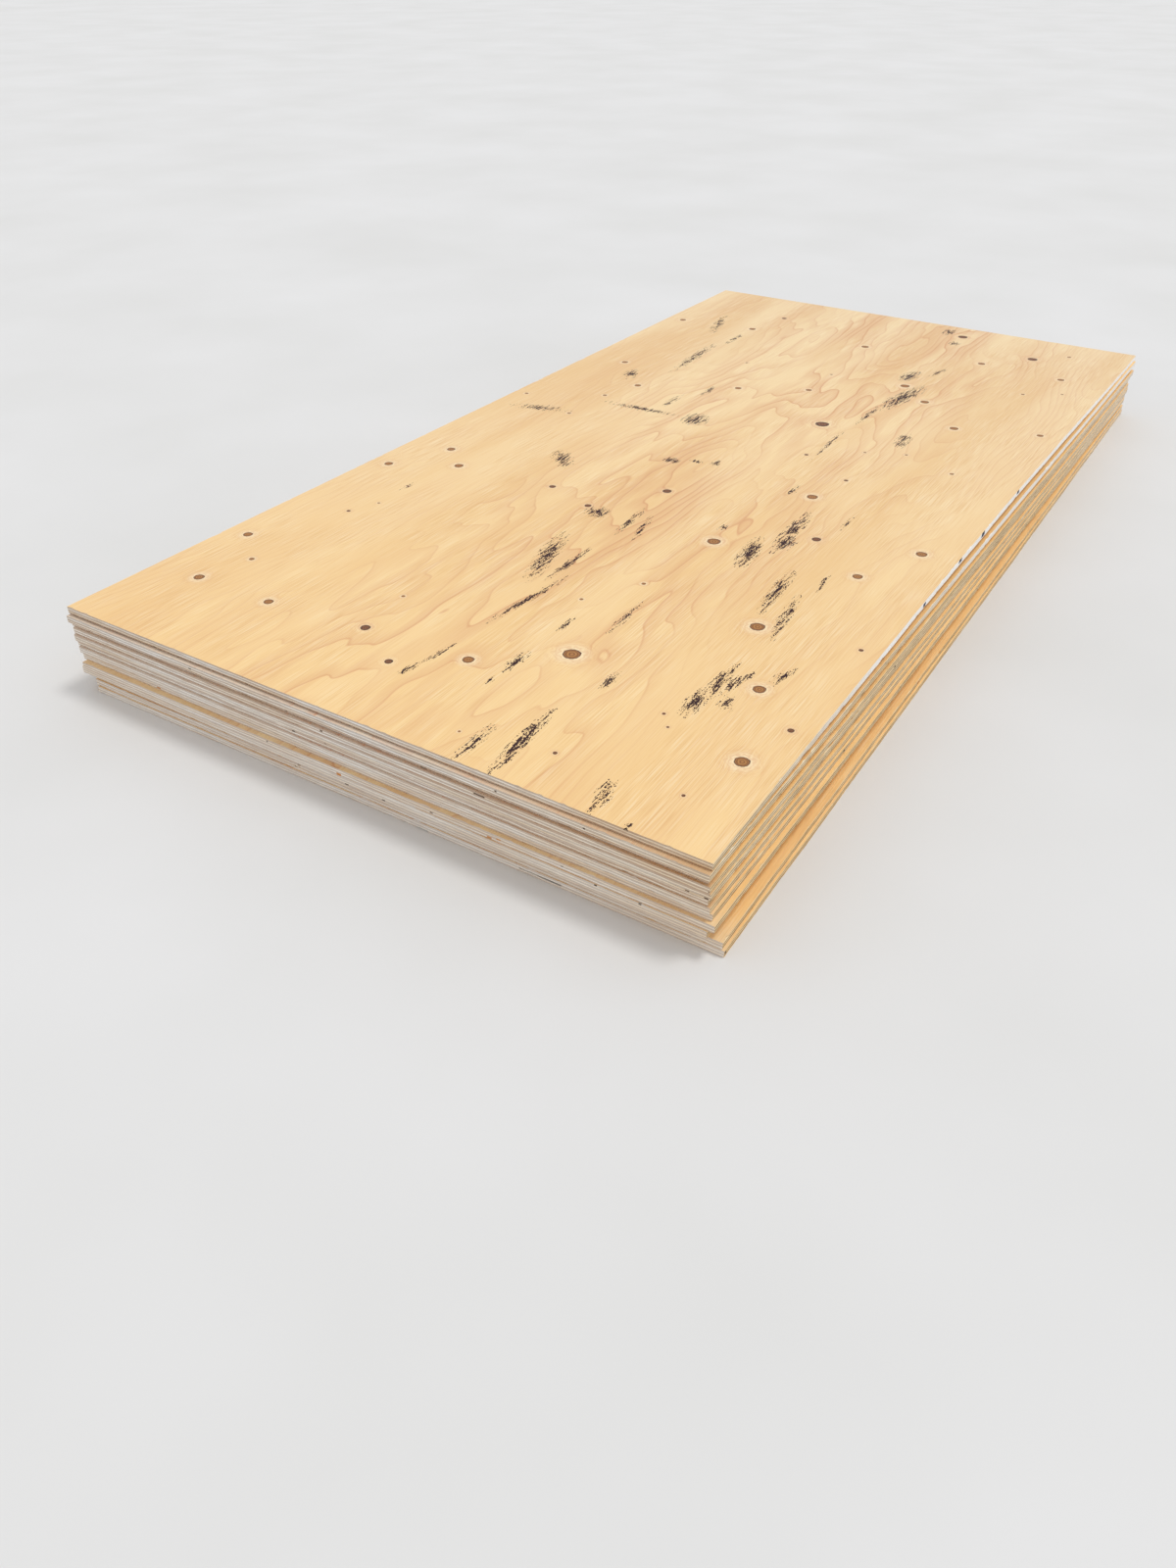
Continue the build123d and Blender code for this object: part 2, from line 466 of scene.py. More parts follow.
def rim_strip(number, path, rows):
    """The rim's faces, their materials and their corners' data."""
    count = len(path)
    here = np.tile(np.arange(count), rows - 1)
    ahead = (here + 1) % count
    row = np.repeat(np.arange(rows - 1), count)
    faces = np.stack([row * count + here, row * count + ahead, (row + 1) * count + ahead,
                      (row + 1) * count + here], axis=1)
    materials = np.where(path[here, 4] % 2 == 1, END, SIDE)
    data = plain_corners(len(faces), 4)
    run = path[:, 5]
    run_ahead = np.append(run[1:], run[-1] + run[0])
    along = np.stack([run[here], run_ahead[here], run_ahead[here], run[here]], axis=1)
    data["grain"][..., 0] = number * GRAIN_STEP + along
    data["grain"][..., 1] = ROW_HEIGHTS[np.stack([row, row, row + 1, row + 1], axis=1)]
    data["ageing_and_light"] = edge_ageing_and_light(number, path)[np.stack([here, ahead, ahead, here], axis=1)]
    for sheet, side, lowest, highest, start, wide, what in EDGE_MARKS:
        if sheet == number:
            distance = from_near_corner(path, side)
            low, high = start * MM - TOUCHING, (start + wide) * MM + TOUCHING
            marked = (distance > low) & (distance < high)
            in_plies = (row >= 2 * lowest - 2) & (row <= 2 * highest - 2)
            data["edge_mark"][marked[here] & marked[ahead] & in_plies, :, what] = 1
    return faces, materials, data


print("the rows of the rim are at", [round(h / MM, 1) for h in ROW_HEIGHTS], "mm")

# %% [markdown]
# ## The faces of a sheet
# A triangulation fills a face. It keeps the rim's own points and the outlines of the patches, and has a
# loose net of points between, so that the face follows the warp.

# %% Fill a face
NET_STEP = 60 * MM
# Only triangles inside the rim are kept, and two points nearer to each other than this are one
INSIDE_OUTLINE = 1
SAME_POINT = 1e-7


def fill_face(rim, length, width, patches):
    """The points inside the rim, their triangles, and which points are the rim's own."""
    points = [Vector(p) for p in rim]
    loops = [list(range(len(points)))]
    for patch in patches:
        loops.append(list(range(len(points), len(points) + len(patch))))
        points += [Vector(p) for p in patch]
    for u in np.arange(NET_STEP, length - NET_STEP / 3, NET_STEP):
        for v in np.arange(NET_STEP, width - NET_STEP / 3, NET_STEP):
            points.append(Vector((u, v)))
    edges = [(a, b) for loop in loops for a, b in zip(loop, loop[1:] + loop[:1])]
    filled = delaunay_2d_cdt(points, edges, [], INSIDE_OUTLINE, SAME_POINT)
    found, _, triangles, origins, _, _ = filled
    rim_index = [min((o for o in origin if o < len(rim)), default=-1) for origin in origins]
    return np.array(found), np.array(triangles), np.array(rim_index)


def mark_patches(data, corner):
    """Writes into the corners' data where they are in the knots' and the stains' patches."""
    middle = corner.mean(axis=1)
    for centre, radius, reach, dark in knot_patches():
        inside = np.linalg.norm(middle - centre, axis=1) < reach
        data["knot_place"][inside, :, :2] = (corner[inside] - centre) / radius
        data["knot_place"][inside, :, 2] = radius
        data["knot_dark"][inside] = dark
    for patch, dense in stain_patches():
        inside = np.linalg.norm(share_of_patch(middle, *patch), axis=1) < 1
        data["stain_place"][inside, :, :2] = share_of_patch(corner[inside], *patch)
        data["stain_place"][inside, :, 2] = dense


def face_data(number, corner, upper):
    """The data of a face's corners, which lie at the given places along and across the sheet."""
    data = plain_corners(len(corner), 3)
    data["grain"] = corner + np.array([number * GRAIN_STEP + (0 if upper else GRAIN_STEP / 2), 0])
    # Near the near end, strips from sheet 7 up get dust that is partly painted shade, and lower strips
    # are kept paler, painted light in their shade
    near_end = np.clip(1 - corner[..., 0] / NEAR_END_REACH, 0, 1)
    dusty_and_shaded = number >= LOWEST_DUSTY_SHADED
    far_from_corner = np.clip(corner[..., 1] / AMBER_CORNER, 0, 1)
    # Faces below the top sheet are fully amber, partly painted warm light bounced between the strips
    data["ageing_and_light"][..., 0] = 1 - near_end * (far_from_corner if dusty_and_shaded else 1 - AMBER_NEAR_END)
    data["ageing_and_light"][..., 2] = near_end if dusty_and_shaded else 0
    if upper and number == len(SHEETS):
        share = corner[..., 0] / LENGTH
        # Painted sheen: the top face is less amber and paler towards the far end, partly for the light
        # glancing off it there
        data["ageing_and_light"][..., 0] = AMBER_TOP_NEAR * (1 - share) + AMBER_TOP_FAR * share
        data["ageing_and_light"][..., 2] = 0
        mark_patches(data, corner)
    return data


print("a face has a point every", round(NET_STEP / MM), "mm between its patches")

# %% [markdown]
# ## One sheet as a mesh
# The rim's rows go down first as points, then each face adds the points that it needs of its own. The
# mesh keeps the corners' data as attributes under their names, and its grain as a UV map.

# %% Build the mesh of a sheet
SHARP = math.radians(35)
# The walls of a gap run from a little outside its width to a little inside it, in millimetres
WALL_OUTSIDE, WALL_INSIDE = 0.1, 0.05


def rim_breaks(number):
    """The stations that a sheet's gaps and marks need at their two ends, so that they start sharply."""
    breaks = []
    for sheet, _, start, wide, _ in GAPS:
        if sheet == number:
            first_wall = (start - WALL_OUTSIDE, start + WALL_INSIDE)
            last_wall = (start + wide - WALL_INSIDE, start + wide + WALL_OUTSIDE)
            breaks += [(NEAR_END, b * MM) for b in first_wall + last_wall]
    for sheet, side, _, _, start, wide, _ in EDGE_MARKS:
        if sheet == number:
            breaks += [(side, start * MM), (side, (start + wide) * MM)]
    return breaks


def build_sheet(name):
    """The mesh object of one sheet, where its solid lies."""
    number = SHEETS.index(name) + 1
    length, width, put = read_sheet(name)
    path = rim_path(length, width, rim_breaks(number))
    inset = rim_inset(np.random.default_rng(number), number, path)
    count, rows = inset.shape
    spots = path[:, None, :2] + inset[:, :, None] * path[:, None, 2:4]
    points = [put(spots[:, row, 0], spots[:, row, 1], ROW_HEIGHTS[row]) for row in range(rows)]
    surfaces = [rim_strip(number, path, rows)]

    ovals = []
    if name == TOP:
        ovals = [oval(middle, reach, reach, 0) for middle, _, reach, _ in knot_patches()]
        ovals += [oval(*patch) for patch, _ in stain_patches()]
    for row, patches in ((0, []), (rows - 1, ovals)):
        flat, triangles, rim_index = fill_face(spots[:, row], length, width, patches)
        upper = row > 0
        triangles = triangles if upper else triangles[:, ::-1]
        new = rim_index < 0
        index = rim_index + row * count
        index[new] = sum(map(len, points)) + np.arange(new.sum())
        points.append(put(flat[new, 0], flat[new, 1], ROW_HEIGHTS[row]))
        kinds = np.full(len(triangles), FACE)
        surfaces.append((index[triangles], kinds, face_data(number, flat[triangles], upper)))
    return make_mesh(f"plywood_{name}", np.concatenate(points), surfaces)


def make_mesh(name, points, surfaces):
    """An object of these points and surfaces, with the corners' data as attributes."""
    mesh = bpy.data.meshes.new(name)
    mesh.from_pydata(points.tolist(), [], [face for faces, _, _ in surfaces for face in faces.tolist()])
    materials = np.concatenate([kinds for _, kinds, _ in surfaces])
    mesh.polygons.foreach_set("material_index", materials)
    mesh.polygons.foreach_set("use_smooth", materials == FACE)
    for key, value in PLAIN_CORNER.items():
        numbers = np.concatenate([data[key].ravel() for _, _, data in surfaces]).astype(np.float32)
        if key == "grain":
            mesh.uv_layers.new(name=key).data.foreach_set("uv", numbers)
        elif len(value) == 1:
            mesh.attributes.new(key, "FLOAT", "CORNER").data.foreach_set("value", numbers)
        else:
            mesh.attributes.new(key, "FLOAT_VECTOR", "CORNER").data.foreach_set("vector", numbers)
    mesh.set_sharp_from_angle(angle=SHARP)
    piece = bpy.data.objects.new(name, mesh)
    bpy.context.scene.collection.objects.link(piece)
    return piece


print("an edge stays sharp where it turns by more than", round(math.degrees(SHARP)), "degrees")

# %% [markdown]
# ## Colours and nodes
# Colours are written as they look on a screen, in hex, and one function turns them to the linear values
# that light is reckoned in. One more function adds a shader node with its settings and links.

# %% Colour and node helpers
def colour(text):
    """A hex colour as linear red, green, blue and alpha."""
    parts = [int(text[i:i + 2], 16) / 255 for i in (1, 3, 5)]
    return [p / 12.92 if p <= 0.04045 else ((p + 0.055) / 1.055) ** 2.4 for p in parts] + [1.0]


def add(tree, kind, inputs=(), give=None, **settings):
    """Adds one node and gives an output of it. An input is a value, or an output that feeds it."""
    made = tree.nodes.new("ShaderNode" + kind)
    for key, value in settings.items():
        setattr(made, key, value)
    for key, value in dict(inputs).items():
        if isinstance(value, bpy.types.NodeSocket):
            tree.links.new(value, made.inputs[key])
        else:
            made.inputs[key].default_value = value
    return made.outputs[give] if give else next(output for output in made.outputs if output.enabled)


def new_material(name):
    """A material with an empty node tree but for its shader, which is given too."""
    material = bpy.data.materials.new(name)
    material.use_nodes = True
    tree = material.node_tree
    tree.nodes.clear()
    shader = tree.nodes.new("ShaderNodeBsdfPrincipled")
    output = tree.nodes.new("ShaderNodeOutputMaterial")
    tree.links.new(shader.outputs[0], output.inputs["Surface"])
    return material, tree, shader


print("honey yellow is", [round(c, 3) for c in colour("#f6d7a0")], "in linear light")

# %% [markdown]
# ## Peeled softwood veneer
# The faces are spruce or pine veneer, peeled off a turning log, pressed and sanded: pale honey yellow
# with a soft satin sheen. Its material is built up in layers, each in a cell of its own, from the plain
# wood to the stains on top. First comes where a spot is in the veneer. Round a knot the grain parts, so
# there the place at which the figure is read is pulled towards the knot's middle.

# %% Where a spot is in the veneer
# How fast the pull fades away from a knot
KNOT_PULL = 0.3


def veneer_places(wood):
    """The spot, how far along and across the veneer it is, and its place in a knot's patch. With it go
    its distance from the knot's middle in radii, and its nearness, which is 1 there and 0 far off."""
    spot = add(wood, "UVMap", uv_map="grain")
    along, across, _ = add(wood, "SeparateXYZ", {0: spot}).node.outputs
    local = add(wood, "Attribute", give="Vector", attribute_name="knot_place")
    local_x, local_y, radius = add(wood, "SeparateXYZ", {0: local}).node.outputs
    in_patch = add(wood, "CombineXYZ", {0: local_x, 1: local_y})
    reach = add(wood, "VectorMath", {0: in_patch}, operation="LENGTH")
    squared = add(wood, "Math", {0: reach, 1: reach}, operation="MULTIPLY")
    fading = add(wood, "Math", {0: squared, 1: -KNOT_PULL}, operation="MULTIPLY")
    nearness = add(wood, "Math", {0: math.e, 1: fading}, operation="POWER")
    offset = add(wood, "Math", {0: local_y, 1: radius}, operation="MULTIPLY")
    pull = add(wood, "Math", {0: offset, 1: nearness}, operation="MULTIPLY")
    parted = add(wood, "Math", {0: across, 1: pull}, operation="SUBTRACT")
    return spot, along, parted, in_patch, reach, nearness


HALF_PULL = math.sqrt(math.log(2) / KNOT_PULL)
print("the pull on the grain is half as strong", round(HALF_PULL, 2), "knot radii from the middle")

# %% [markdown]
# ## Flames
# Where the knife ran along the growth rings, the dark late wood of each ring comes out as a thin
# pinkish line. The lines nest into long flames and islands. They are the level lines of a hidden
# height: how many rings deep the knife was, a valley along the middle of the sheet plus slow noise that
# is stretched along the grain. A line as thin as the real one needs the distance to it in metres. That
# is the part of a ring gone past, divided by the rings' slope, which comes from reading the height
# again one step along and one step across. The lines are drawn bolder where the wood is less amber,
# which on the top face is towards the far end: a painted sheen, for there the glancing light makes the
# figure stand out.

# %% Draw the flames
# How many metres across the sheet the middle of the flames is, how many rings deeper the knife was a
# metre away from it, and how many rings the slow noise adds
FLAME_MIDDLE = 0.56
RINGS_PER_VALLEY = 55
RING_WANDER = 13
# The slow noise is so many metres long and wide
FLAME_LONG, FLAME_WIDE = 0.9, 0.21
# The step over which the slope is read, the fewest rings to the metre, and how many rings a knot adds
SLOPE_STEP = 2 * MM
LEAST_SLOPE = 12
KNOT_RINGS = 1.3
# How far the dark line, its soft start and the shade behind it reach, and how strong the shade is
LATE_WOOD = 6 * MM
LINE_START = 2.5 * MM
RING_SHADE = 40 * MM
SHADE_SHARE = 0.48
# How bold the lines are along the middle of the flames and away from it, where away is the square of the
# distance in metres, and how bold they are in the least amber wood, where the painted sheen is, in
# amber wood and round a knot
BOLD_MIDDLE, BOLD_ASIDE, ASIDE = 0.55, 0.2, 0.16
BOLD_SHEEN, BOLD_AMBER = 1.45, 1.1
BOLD_NEAR_KNOT = 0.5


def ring_depth(wood, along, across):
    """How many growth rings deep the knife was at a spot. The valley and the place in the slow noise
    that it is made of are given too."""
    spot = add(wood, "CombineXYZ", {0: along, 1: across})
    slow = add(wood, "Mapping", {"Vector": spot, "Scale": (1 / FLAME_LONG, 1 / FLAME_WIDE, 1)})
    wavy = add(wood, "TexNoise", {"Vector": slow, "Scale": 1.0, "Detail": 3.0, "Roughness": 0.42},
               noise_dimensions="2D")
    off = add(wood, "Math", {0: across, 1: FLAME_MIDDLE}, operation="SUBTRACT")
    valley = add(wood, "Math", {0: off, 1: off}, operation="MULTIPLY")
    rings = add(wood, "Math", {0: valley, 1: RINGS_PER_VALLEY}, operation="MULTIPLY")
    depth = add(wood, "Math", {0: wavy, 1: RING_WANDER, 2: rings}, operation="MULTIPLY_ADD")
    return depth, valley, slow


def flame_lines(wood, along, across, nearness):
    """How strongly a spot is coloured by the late wood of a ring."""
    depth, valley, slow = ring_depth(wood, along, across)
    along_next = add(wood, "Math", {0: along, 1: SLOPE_STEP}, operation="ADD")
    across_next = add(wood, "Math", {0: across, 1: SLOPE_STEP}, operation="ADD")
    depth_along = ring_depth(wood, along_next, across)[0]
    rise_along = add(wood, "Math", {0: depth_along, 1: depth}, operation="SUBTRACT")
    depth_across = ring_depth(wood, along, across_next)[0]
    rise_across = add(wood, "Math", {0: depth_across, 1: depth}, operation="SUBTRACT")
    rise = add(wood, "CombineXYZ", {0: rise_along, 1: rise_across})
    steepness = add(wood, "VectorMath", {0: rise}, operation="LENGTH")
    slope = add(wood, "Math", {0: steepness, 1: SLOPE_STEP}, operation="DIVIDE")
    safe_slope = add(wood, "Math", {0: slope, 1: LEAST_SLOPE}, operation="MAXIMUM")
    near_knot = add(wood, "Math", {0: nearness, 1: KNOT_RINGS, 2: depth}, operation="MULTIPLY_ADD")
    past = add(wood, "Math", {0: near_knot}, operation="FRACT")
    distance = add(wood, "Math", {0: past, 1: safe_slope}, operation="DIVIDE")
    line = add(wood, "MapRange",
               {"Value": distance, "From Max": LATE_WOOD, "To Min": 1.0, "To Max": 0.0})
    to_next = add(wood, "Math", {0: 1.0, 1: past}, operation="SUBTRACT")
    next_distance = add(wood, "Math", {0: to_next, 1: safe_slope}, operation="DIVIDE")
    soft_start = add(wood, "MapRange",
                     {"Value": next_distance, "From Max": LINE_START, "To Min": 1.0, "To Max": 0.0})
    shade = add(wood, "MapRange",
                {"Value": distance, "From Max": RING_SHADE, "To Min": SHADE_SHARE, "To Max": 0.0})
    shaded = add(wood, "Math", {0: line, 1: shade}, operation="MAXIMUM")
    drawn = add(wood, "Math", {0: shaded, 1: soft_start}, operation="MAXIMUM")
    central = add(wood, "MapRange",
                  {"Value": valley, "From Max": ASIDE, "To Min": BOLD_MIDDLE, "To Max": BOLD_ASIDE})
    patches = add(wood, "TexNoise", {"Vector": slow, "Scale": 1.7, "Detail": 1.0},
                  noise_dimensions="2D")
    patchy = add(wood, "MapRange",
                 {"Value": patches, "From Min": 0.38, "From Max": 0.6, "To Min": 0.25})
    ageing_and_light = add(wood, "Attribute", give="Vector", attribute_name="ageing_and_light")
    amber = add(wood, "SeparateXYZ", {0: ageing_and_light}, give="X")
    # Painted sheen: lines are bolder where the wood is less amber, towards the far end of the top face
    sheen_bold = add(wood, "MapRange", {"Value": amber, "From Max": AMBER_TOP_NEAR,
                                   "To Min": BOLD_SHEEN, "To Max": BOLD_AMBER})
    patchy_sheen_bold = add(wood, "Math", {0: patchy, 1: sheen_bold}, operation="MULTIPLY")
    bold = add(wood, "Math", {0: central, 1: patchy_sheen_bold}, operation="MULTIPLY")
    bolder = add(wood, "Math", {0: nearness, 1: BOLD_NEAR_KNOT, 2: bold}, operation="MULTIPLY_ADD")
    return add(wood, "Math", {0: drawn, 1: bolder}, operation="MULTIPLY")


print("a flame's line fades out over", LATE_WOOD / MM, "mm and its shade over", RING_SHADE / MM, "mm")

# %% [markdown]
# ## Plain wood and its fine grain
# Away from the flames the rings lie close, as fine straight lines along the sheet. The real ones are
# about a millimetre apart, too fine to show, and are drawn a third coarser. Where the knife lifted the
# grain they show more, as a hatching of pale and dark dashes. Slow noise changes the tone of the wood
# over a hand's width. Amber wood is mixed in where the sheet has aged. On the strips of the lower
# sheets the amber partly paints the warm light bounced between them, and on the top face it fades
# towards the far end, partly painted sheen. Near the near end dust is mixed in, partly painted shade.

# %% Draw the plain wood
RING_SPACING = 1.1 * MM
DRAWN_COARSER = 1.3
DASH_LENGTH = 80 * MM
# How many to the metre, along the sheet and across it
FINE_LINES = (1 / DASH_LENGTH, 1 / (DRAWN_COARSER * RING_SPACING))
BROAD_TONES = (0.9, 7)
LIFTED_GRAIN = (3, 11)


def stretched_noise(tree, spot, per_metre, detail=2.0):
    """Noise with so many waves to the metre, along the grain and across it."""
    place = add(tree, "Mapping", {"Vector": spot, "Scale": (*per_metre, 1)})
    return add(tree, "TexNoise", {"Vector": place, "Scale": 1.0, "Detail": detail},
               noise_dimensions="2D")


def plain_wood(wood, figure, lines, flames):
    """The sanded wood, with its fine lines and its flames."""
    tone = stretched_noise(wood, figure, BROAD_TONES)
    tone_share = add(wood, "MapRange", {"Value": tone, "From Min": 0.33, "From Max": 0.6})
    honey = add(wood, "Mix", {"Factor": tone_share, "A": colour("#e6c18e"), "B": colour("#f2d7a9")},
                data_type="RGBA")
    ageing_and_light = add(wood, "Attribute", give="Vector", attribute_name="ageing_and_light")
    amber, _, dust_and_shade = add(wood, "SeparateXYZ", {0: ageing_and_light}).node.outputs
    # Amber: partly ageing, partly painted warm light on the lower strips
    warm = add(wood, "Mix", {"Factor": amber, "A": honey, "B": colour("#f8cd88")}, data_type="RGBA")
    # The dust colour is partly painted shade on the near-end strips under the sheets above them
    dirt_and_shade = add(wood, "Mix", {"Factor": amber, "A": colour("#dfd0bf"), "B": colour("#cfa87c")},
               data_type="RGBA")
    aged_and_shaded = add(wood, "Mix", {"Factor": dust_and_shade, "A": warm, "B": dirt_and_shade}, data_type="RGBA")
    lifted = stretched_noise(wood, figure, LIFTED_GRAIN)
    hatching = add(wood, "MapRange", {"Value": lifted, "From Min": 0.4, "From Max": 0.6, "To Min": 0.3})
    dark_dash = add(wood, "MapRange", {"Value": lines, "From Min": 0.5, "From Max": 0.66,
                                       "To Max": 0.4})
    dark_share = add(wood, "Math", {0: dark_dash, 1: hatching}, operation="MULTIPLY")
    lined = add(wood, "Mix", {"Factor": dark_share, "A": aged_and_shaded, "B": colour("#d9a768")}, data_type="RGBA")
    pale_dash = add(wood, "MapRange", {"Value": lines, "From Min": 0.46, "From Max": 0.34,
                                       "To Max": 0.3})
    pale_share = add(wood, "Math", {0: pale_dash, 1: hatching}, operation="MULTIPLY")
    hatched = add(wood, "Mix", {"Factor": pale_share, "A": lined, "B": colour("#fff0cf")},
                  data_type="RGBA")
    return add(wood, "Mix", {"Factor": flames, "A": hatched, "B": colour("#cf885a")}, data_type="RGBA")


print("the fine lines are drawn", round(DRAWN_COARSER * RING_SPACING / MM, 2), "mm apart")

# %% [markdown]
# ## Knots
# A knot is a sawn branch: a round brown heart with its own rings, a thin dark rim of bark, a pale ring
# of wood grown round it, and faint pinkish rings that die away outside. All of them are read from the
# distance to the knot's middle, counted in knot radii and made a little uneven.

# %% Draw the knots
# Where the bark begins and ends, where the knot does, and where its pale ring and its outer rings fade
# out, all in knot radii from the middle
BARK = (0.84, 1.0)
KNOT_END = (1.06, 1.14)
PALE_RING = (1.15, 2.7)
OUTER_RINGS = (1.3, 3.9)
# How far the knot is out of round, and how far its outer rings sway
UNEVEN, SWAY = 0.14, 0.35
# How many radians the waves of the rings turn in one knot radius, in the heart and outside the knot
HEART_WAVE, OUTER_WAVE = 15.0, 9.0


def with_knots(wood, plain, in_patch, reach):
    """The knots laid over the plain wood."""
    ripple = add(wood, "TexNoise", {"Vector": in_patch, "Scale": 1.6, "Detail": 2.0},
                 noise_dimensions="2D")
    shift = add(wood, "MapRange", {"Value": ripple, "To Min": -UNEVEN, "To Max": UNEVEN})
    uneven = add(wood, "Math", {0: reach, 1: shift}, operation="ADD")
    dark = add(wood, "Attribute", give="Fac", attribute_name="knot_dark")
    glow = add(wood, "MapRange", {"Value": uneven, "From Min": PALE_RING[0],
                                  "From Max": PALE_RING[1], "To Min": 0.75, "To Max": 0.0})
    paleness = add(wood, "MapRange", {"Value": dark, "To Min": 1.0, "To Max": 0.45})
    pale_share = add(wood, "Math", {0: glow, 1: paleness}, operation="MULTIPLY")
    haloed = add(wood, "Mix", {"Factor": pale_share, "A": plain, "B": colour("#fce5ba")},
                 data_type="RGBA")
    swirl = add(wood, "TexNoise", {"Vector": in_patch, "Scale": 0.9, "Detail": 2.0},
                noise_dimensions="2D")
    sway = add(wood, "MapRange", {"Value": swirl, "From Min": 0.3, "From Max": 0.7, "To Min": -SWAY,
                                  "To Max": SWAY})
    looser = add(wood, "Math", {0: reach, 1: sway}, operation="ADD")
    outer_wave = add(wood, "Math", {0: looser, 1: OUTER_WAVE}, operation="MULTIPLY")
    outer_rings = add(wood, "Math", {0: outer_wave}, operation="SINE")
    outer_line = add(wood, "MapRange", {"Value": outer_rings, "From Min": -0.5})
    dying = add(wood, "MapRange", {"Value": reach, "From Min": OUTER_RINGS[0],
                                   "From Max": OUTER_RINGS[1], "To Min": 0.45, "To Max": 0.0})
    outer_share = add(wood, "Math", {0: outer_line, 1: dying}, operation="MULTIPLY")
    ringed = add(wood, "Mix", {"Factor": outer_share, "A": haloed, "B": colour("#d99f6e")},
                 data_type="RGBA")

    heart_wave = add(wood, "Math", {0: uneven, 1: HEART_WAVE}, operation="MULTIPLY")
    heart_rings = add(wood, "Math", {0: heart_wave}, operation="SINE")
    heart_share = add(wood, "MapRange", {"Value": heart_rings, "From Min": -1.0})
    heart = add(wood, "Mix", {"Factor": heart_share, "A": colour("#84501f"), "B": colour("#b67d3d")},
                data_type="RGBA")
    dark_heart = add(wood, "Mix", {"Factor": heart_share, "A": colour("#5a3217"),
                                   "B": colour("#8c572d")}, data_type="RGBA")
    core = add(wood, "Mix", {"Factor": dark, "A": heart, "B": dark_heart}, data_type="RGBA")
    bark = add(wood, "Mix", {"Factor": dark, "A": colour("#5c3319"), "B": colour("#241208")},
               data_type="RGBA")
    bark_share = add(wood, "MapRange", {"Value": uneven, "From Min": BARK[0], "From Max": BARK[1]})
    barked = add(wood, "Mix", {"Factor": bark_share, "A": core, "B": bark}, data_type="RGBA")
    knot_share = add(wood, "MapRange", {"Value": uneven, "From Min": KNOT_END[0],
                                        "From Max": KNOT_END[1], "To Min": 1.0, "To Max": 0.0})
    return add(wood, "Mix", {"Factor": knot_share, "A": ringed, "B": barked}, data_type="RGBA")


print("a knot's pale ring fades out", PALE_RING[1], "knot radii from its middle")

# %% [markdown]
# ## Stains
# The black stains are broken into specks a few millimetres long, for the dirt only touched the high
# spots of the wood. Two noises are added, one stretched along the grain and a finer one. What is above
# a limit is stained, and the limit rises from the middle of a stain's patch to its edge.

# %% Draw the stains
# How long and how wide the marks of the two noises are
STREAK = (26 * MM, 4.2 * MM)
SPECK = (4.2 * MM, 1.7 * MM)
# The limit in the middle of a patch and at its edge, how much of the patch is its middle, and how much
# higher the limit of the faintest stain is
LIMIT_MIDDLE, LIMIT_EDGE = 0.91, 1.22
MIDDLE_SHARE = 0.3
FAINT_LIMIT = 0.16


def with_stains(wood, knotty, spot):
    """The stains laid over everything else."""
    place = add(wood, "Attribute", give="Vector", attribute_name="stain_place")
    shares = add(wood, "SeparateXYZ", {0: place}).node.outputs
    flat = add(wood, "CombineXYZ", {0: shares[0], 1: shares[1]})
    reach = add(wood, "VectorMath", {0: flat}, operation="LENGTH")
    marks = []
    for long, wide in (STREAK, SPECK):
        marks.append(stretched_noise(wood, spot, (1 / long, 1 / wide), detail=1.5))
    marked = add(wood, "Math", {0: marks[0], 1: marks[1]}, operation="ADD")
    thinning = add(wood, "MapRange", {"Value": reach, "From Min": MIDDLE_SHARE,
                                      "To Min": LIMIT_MIDDLE, "To Max": LIMIT_EDGE}, clamp=False)
    sparse = add(wood, "MapRange", {"Value": shares[2], "To Min": FAINT_LIMIT, "To Max": 0.0})
    limit = add(wood, "Math", {0: thinning, 1: sparse}, operation="ADD")
    above = add(wood, "Math", {0: marked, 1: limit}, operation="SUBTRACT")
    share = add(wood, "MapRange", {"Value": above, "From Min": -0.01, "From Max": 0.01, "To Max": 0.97})
    stained = add(wood, "Mix", {"Factor": share, "A": knotty, "B": colour("#2a0e20")}, data_type="RGBA")
    return stained, share


print("a stain's specks are about", SPECK[0] / MM, "by", SPECK[1] / MM, "mm")

# %% [markdown]
# ## Put the veneer together
# Sanded softwood has an index of refraction of about 1.5 and is half matt. The harder late wood of the
# fine lines stands up a few hundredths of a millimetre, which a bump shows. The dirt of the stains has
# no sheen.

# %% Make the veneer
WOOD_IOR = 1.5
VENEER_ROUGH = (0.5, 0.64)
WOOD_SHEEN, STAIN_SHEEN = 0.5, 0.1
GRAIN_RELIEF = 0.12 * MM


